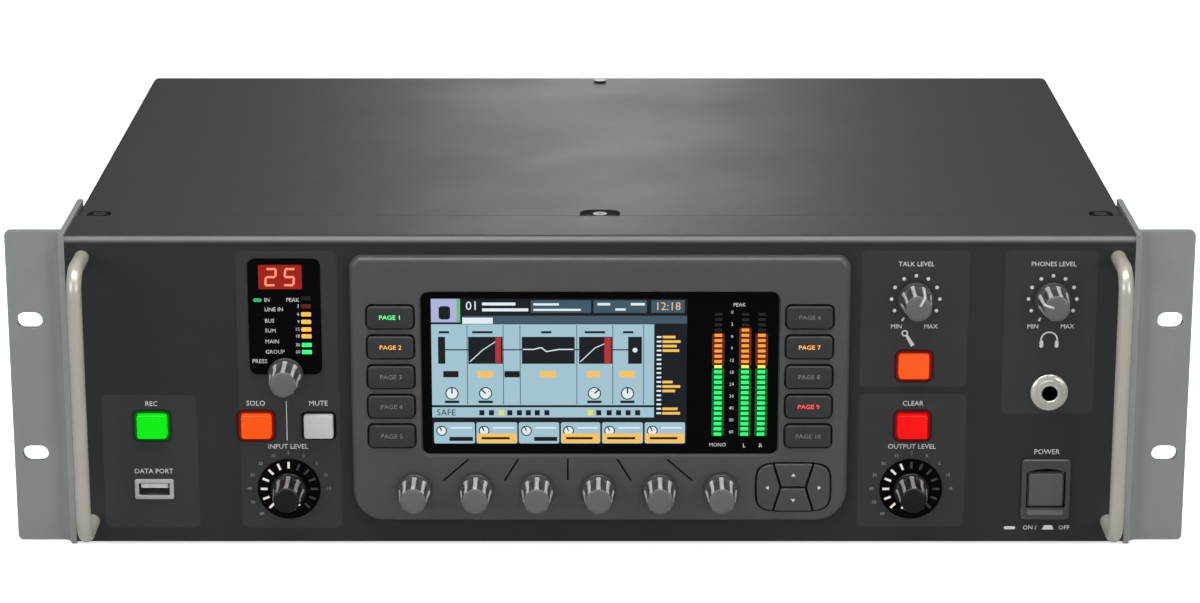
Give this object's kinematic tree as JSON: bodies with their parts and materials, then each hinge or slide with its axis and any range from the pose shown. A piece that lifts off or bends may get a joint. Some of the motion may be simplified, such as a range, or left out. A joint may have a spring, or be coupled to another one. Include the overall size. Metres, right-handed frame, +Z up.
{
  "type": "rack-mounted digital audio mixer",
  "caption": "Rack-mounted audio unit with a colour screen in a moulded bezel, rotary encoders, lit push buttons, level meters, two grab handles and rack ears.",
  "frame": {"origin": "on the underside, in the middle of the width, straight below the plane where the rack ears' rear faces meet the rack rails", "axes": "+X to the right seen from the front, +Y to the back, +Z up; the front panel faces -Y"},
  "size_m": [0.4826, 0.325, 0.1325],
  "materials": {
    "case_paint": "fine satin powder coat",
    "panel_paint": "fine matt powder coat with printed lighter fields",
    "ear_paint": "smooth satin silver-grey paint",
    "handle_metal": "satin nickel plate",
    "bezel_plastic": "satin moulded plastic",
    "key_plastic": "satin moulded plastic",
    "knob_plastic": "satin moulded plastic with flutes",
    "dark_knob": "dark satin moulded plastic",
    "window_glass": "clear acrylic",
    "channel_glass": "polished black acrylic",
    "lcd": "backlit screen in a metal holder",
    "led_block": "moulded light guides",
    "ring_plastic": "dark translucent plastic",
    "plated_metal": "nickel plate",
    "switch_plastic": "satin moulded plastic",
    "board": "green solder mask",
    "black_plastic": "moulded plastic",
    "black_screw": "black zinc",
    "rotor_brass": "machined",
    "green_cap": "translucent, lit from behind",
    "orange_cap": "translucent, lit from behind",
    "white_cap": "translucent, unlit",
    "red_cap": "translucent, lit from behind"
  },
  "bodies": {
    "chassis": {"chassis_tray": "case_paint", "top_cover": "case_paint", "front_panel": "panel_paint", "rear_panel": "case_paint", "rack_ear_left": "ear_paint", "rack_ear_right": "ear_paint", "handle_left": "handle_metal", "handle_right": "handle_metal", "display_bezel": "bezel_plastic", "display_window": "window_glass", "lcd_module": "lcd", "led_modules": "led_block", "channel_window": "channel_glass", "level_rings": "ring_plastic", "usb_port": "plated_metal", "headphone_jack": "plated_metal", "power_switch": "switch_plastic", "encoder_bodies": "plated_metal", "control_board": "board", "main_board": "board", "power_supply": "board", "fan_frame": "black_plastic", "xlr_sockets": "black_plastic", "line_sockets": "black_plastic", "data_card": "case_paint", "mains_inlet": "black_plastic", "screws": "black_screw"},
    "fan_rotor": {"fan_rotor": "black_plastic"},
    "display_knob_1": {"display_knob_1": "knob_plastic"},
    "display_knob_2": {"display_knob_2": "knob_plastic"},
    "display_knob_3": {"display_knob_3": "knob_plastic"},
    "display_knob_4": {"display_knob_4": "knob_plastic"},
    "display_knob_5": {"display_knob_5": "knob_plastic"},
    "display_knob_6": {"display_knob_6": "knob_plastic"},
    "channel_level_knob": {"channel_level_knob": "dark_knob"},
    "main_level_knob": {"main_level_knob": "dark_knob"},
    "talk_knob": {"talk_knob": "knob_plastic"},
    "monitor_knob": {"monitor_knob": "knob_plastic"},
    "select_rotor": {"select_rotor": "rotor_brass"},
    "select_knob": {"select_knob": "knob_plastic"},
    "usb_button": {"usb_button": "green_cap"},
    "solo_button": {"solo_button": "orange_cap"},
    "mute_button": {"mute_button": "white_cap"},
    "talk_button": {"talk_button": "orange_cap"},
    "clear_solo_button": {"clear_solo_button": "red_cap"},
    "home_key": {"home_key": "key_plastic"},
    "meters_key": {"meters_key": "key_plastic"},
    "routing_key": {"routing_key": "key_plastic"},
    "library_key": {"library_key": "key_plastic"},
    "effects_key": {"effects_key": "key_plastic"},
    "setup_key": {"setup_key": "key_plastic"},
    "monitor_key": {"monitor_key": "key_plastic"},
    "scenes_key": {"scenes_key": "key_plastic"},
    "mute_group_key": {"mute_group_key": "key_plastic"},
    "utility_key": {"utility_key": "key_plastic"},
    "nav_up_key": {"nav_up_key": "key_plastic"},
    "nav_down_key": {"nav_down_key": "key_plastic"},
    "nav_left_key": {"nav_left_key": "key_plastic"},
    "nav_right_key": {"nav_right_key": "key_plastic"},
    "power_button": {"power_button": "switch_plastic"}
  },
  "joints": [
    {"name": "fan_spin", "type": "hinge", "parent": "chassis", "child": "fan_rotor", "pos_m": [0.1785, 0.279, 0.0915], "axis": [0, 1, 0], "continuous": true},
    {"name": "display_knob_1_turn", "type": "hinge", "parent": "chassis", "child": "display_knob_1", "pos_m": [-0.07608, -0.012, 0.02485], "axis": [0, -1, 0], "continuous": true},
    {"name": "display_knob_2_turn", "type": "hinge", "parent": "chassis", "child": "display_knob_2", "pos_m": [-0.05092, -0.012, 0.02485], "axis": [0, -1, 0], "continuous": true},
    {"name": "display_knob_3_turn", "type": "hinge", "parent": "chassis", "child": "display_knob_3", "pos_m": [-0.02577, -0.012, 0.02485], "axis": [0, -1, 0], "continuous": true},
    {"name": "display_knob_4_turn", "type": "hinge", "parent": "chassis", "child": "display_knob_4", "pos_m": [-0.00063, -0.012, 0.02485], "axis": [0, -1, 0], "continuous": true},
    {"name": "display_knob_5_turn", "type": "hinge", "parent": "chassis", "child": "display_knob_5", "pos_m": [0.02453, -0.012, 0.02485], "axis": [0, -1, 0], "continuous": true},
    {"name": "display_knob_6_turn", "type": "hinge", "parent": "chassis", "child": "display_knob_6", "pos_m": [0.04967, -0.012, 0.02485], "axis": [0, -1, 0], "continuous": true},
    {"name": "channel_level_turn", "type": "hinge", "parent": "chassis", "child": "channel_level_knob", "pos_m": [-0.128, -0.008, 0.02405], "axis": [0, -1, 0], "continuous": true},
    {"name": "main_level_turn", "type": "hinge", "parent": "chassis", "child": "main_level_knob", "pos_m": [0.128, -0.008, 0.02405], "axis": [0, -1, 0], "continuous": true},
    {"name": "talk_turn", "type": "hinge", "parent": "chassis", "child": "talk_knob", "pos_m": [0.128, -0.008, 0.10535], "axis": [0, -1, 0], "range_deg": [-150, 150]},
    {"name": "monitor_turn", "type": "hinge", "parent": "chassis", "child": "monitor_knob", "pos_m": [0.1835, -0.008, 0.10535], "axis": [0, -1, 0], "range_deg": [-200, 100]},
    {"name": "select_turn", "type": "hinge", "parent": "chassis", "child": "select_rotor", "pos_m": [-0.128, -0.008, 0.074], "axis": [0, -1, 0], "continuous": true},
    {"name": "select_push", "type": "slide", "parent": "select_rotor", "child": "select_knob", "axis": [0, 1, 0], "range_m": [0, 0.0015], "stiffness_N_per_m": 800},
    {"name": "usb_press", "type": "slide", "parent": "chassis", "child": "usb_button", "axis": [0, 1, 0], "range_m": [0, 0.002], "stiffness_N_per_m": 400},
    {"name": "solo_press", "type": "slide", "parent": "chassis", "child": "solo_button", "axis": [0, 1, 0], "range_m": [0, 0.002], "stiffness_N_per_m": 400},
    {"name": "mute_press", "type": "slide", "parent": "chassis", "child": "mute_button", "axis": [0, 1, 0], "range_m": [0, 0.002], "stiffness_N_per_m": 400},
    {"name": "talk_press", "type": "slide", "parent": "chassis", "child": "talk_button", "axis": [0, 1, 0], "range_m": [0, 0.002], "stiffness_N_per_m": 400},
    {"name": "clear_solo_press", "type": "slide", "parent": "chassis", "child": "clear_solo_button", "axis": [0, 1, 0], "range_m": [0, 0.002], "stiffness_N_per_m": 400},
    {"name": "home_key_press", "type": "slide", "parent": "chassis", "child": "home_key", "axis": [0, 1, 0], "range_m": [0, 0.001], "stiffness_N_per_m": 600},
    {"name": "meters_key_press", "type": "slide", "parent": "chassis", "child": "meters_key", "axis": [0, 1, 0], "range_m": [0, 0.001], "stiffness_N_per_m": 600},
    {"name": "routing_key_press", "type": "slide", "parent": "chassis", "child": "routing_key", "axis": [0, 1, 0], "range_m": [0, 0.001], "stiffness_N_per_m": 600},
    {"name": "library_key_press", "type": "slide", "parent": "chassis", "child": "library_key", "axis": [0, 1, 0], "range_m": [0, 0.001], "stiffness_N_per_m": 600},
    {"name": "effects_key_press", "type": "slide", "parent": "chassis", "child": "effects_key", "axis": [0, 1, 0], "range_m": [0, 0.001], "stiffness_N_per_m": 600},
    {"name": "setup_key_press", "type": "slide", "parent": "chassis", "child": "setup_key", "axis": [0, 1, 0], "range_m": [0, 0.001], "stiffness_N_per_m": 600},
    {"name": "monitor_key_press", "type": "slide", "parent": "chassis", "child": "monitor_key", "axis": [0, 1, 0], "range_m": [0, 0.001], "stiffness_N_per_m": 600},
    {"name": "scenes_key_press", "type": "slide", "parent": "chassis", "child": "scenes_key", "axis": [0, 1, 0], "range_m": [0, 0.001], "stiffness_N_per_m": 600},
    {"name": "mute_group_key_press", "type": "slide", "parent": "chassis", "child": "mute_group_key", "axis": [0, 1, 0], "range_m": [0, 0.001], "stiffness_N_per_m": 600},
    {"name": "utility_key_press", "type": "slide", "parent": "chassis", "child": "utility_key", "axis": [0, 1, 0], "range_m": [0, 0.001], "stiffness_N_per_m": 600},
    {"name": "nav_up_press", "type": "slide", "parent": "chassis", "child": "nav_up_key", "axis": [0, 1, 0], "range_m": [0, 0.001], "stiffness_N_per_m": 600},
    {"name": "nav_down_press", "type": "slide", "parent": "chassis", "child": "nav_down_key", "axis": [0, 1, 0], "range_m": [0, 0.001], "stiffness_N_per_m": 600},
    {"name": "nav_left_press", "type": "slide", "parent": "chassis", "child": "nav_left_key", "axis": [0, 1, 0], "range_m": [0, 0.001], "stiffness_N_per_m": 600},
    {"name": "nav_right_press", "type": "slide", "parent": "chassis", "child": "nav_right_key", "axis": [0, 1, 0], "range_m": [0, 0.001], "stiffness_N_per_m": 600},
    {"name": "power_press", "type": "slide", "parent": "chassis", "child": "power_button", "axis": [0, 1, 0], "range_m": [-0.003, 0]}
  ]
}
